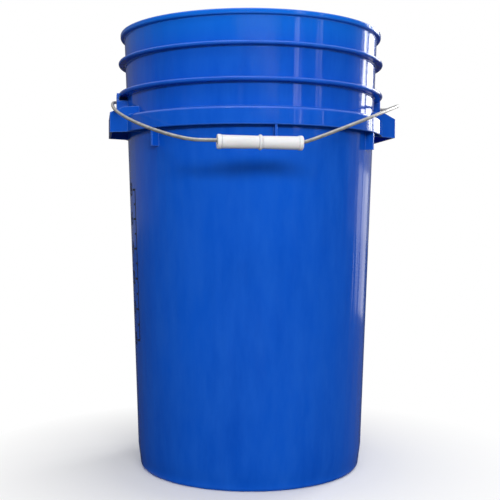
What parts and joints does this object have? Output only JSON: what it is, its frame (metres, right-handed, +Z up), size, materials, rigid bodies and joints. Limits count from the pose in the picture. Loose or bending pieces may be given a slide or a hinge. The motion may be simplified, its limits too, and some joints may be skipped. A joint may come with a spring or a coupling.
{
  "type": "fermenting bucket",
  "caption": "Tall tapered plastic fermenting bucket, open at the top, with stiffening ribs, a collar with lifting ears, and a swinging wire bail with a plastic grip.",
  "frame": {"origin": "centre of the foot ring, on the surface that the bucket stands on", "axes": "+Z up along the pail's axis; +X along the bail's pivot axis, through the ears; the resting bail hangs on the -Y side, which is the front"},
  "size_m": [0.3361, 0.3758, 0.502],
  "materials": {
    "pail_plastic": "royal blue moulded polyethylene, satin gloss",
    "bail_wire": "galvanised steel wire, dull",
    "grip_plastic": "white moulded polyethylene, satin"
  },
  "bodies": {
    "pail": {"pail": "pail_plastic"},
    "bail": {"bail": "bail_wire"},
    "grip": {"grip": "grip_plastic"}
  },
  "joints": [
    {"name": "bail_swing", "type": "hinge", "parent": "pail", "child": "bail", "pos_m": [0, 0, 0.4228], "axis": [-1, 0, 0], "range_deg": [0, 200]},
    {"name": "grip_spin", "type": "hinge", "parent": "bail", "child": "grip", "pos_m": [-0.0282, -0.2136, 0.3602], "axis": [1, 0, 0], "continuous": true}
  ]
}
